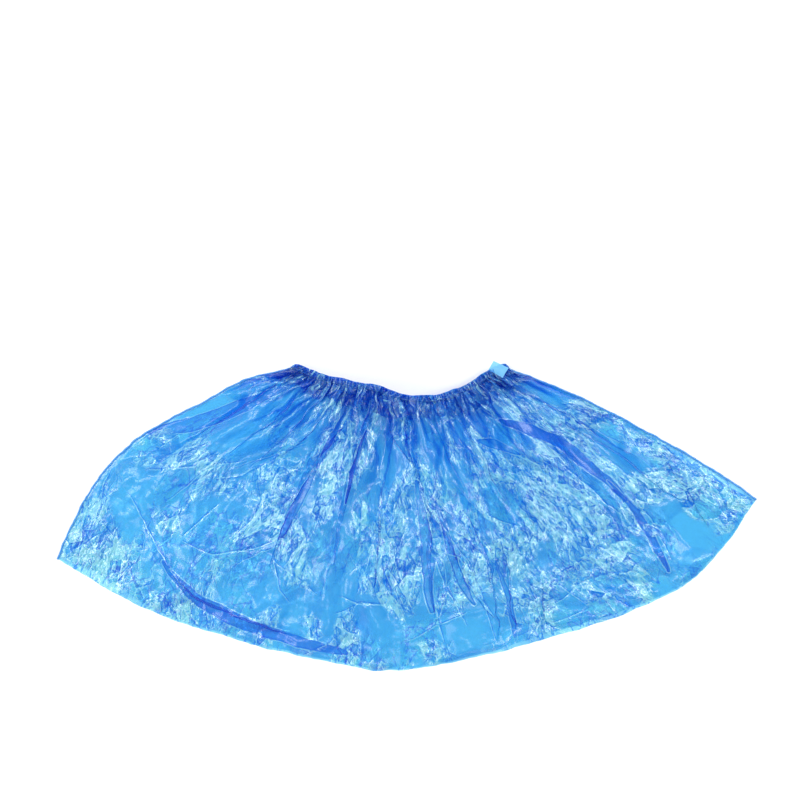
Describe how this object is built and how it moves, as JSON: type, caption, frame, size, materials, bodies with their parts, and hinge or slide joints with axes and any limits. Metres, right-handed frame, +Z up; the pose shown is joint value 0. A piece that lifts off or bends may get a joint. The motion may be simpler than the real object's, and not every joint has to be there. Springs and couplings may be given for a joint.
{
  "type": "disposable shoe cover",
  "caption": "Disposable shoe cover: a fan-shaped pocket of thin clear blue film, its mouth gathered by an elastic thread, lying on its side and open for a shoe.",
  "frame": {"origin": "middle of the footprint, on the surface that the cover lies on", "axes": "+X from the toe to the heel, +Y towards the open mouth, +Z up out of the surface that the cover lies on"},
  "size_m": [0.3656, 0.1614, 0.024],
  "materials": {
    "film": "thin crinkled polyethylene film, clear blue and glossy",
    "gathered_film": "several layers of the same film drawn together, deep blue",
    "elastic": "rubber thread wrapped in film, satin",
    "welded_film": "melted bead of the film, smooth",
    "single_film": "flat film, pale blue"
  },
  "bodies": {
    "root": {"film_pocket": "film", "hem_ruffle": "gathered_film", "elastic_thread": "elastic", "toe_weld": "welded_film", "heel_weld": "welded_film", "hem_tab": "single_film"}
  },
  "joints": []
}
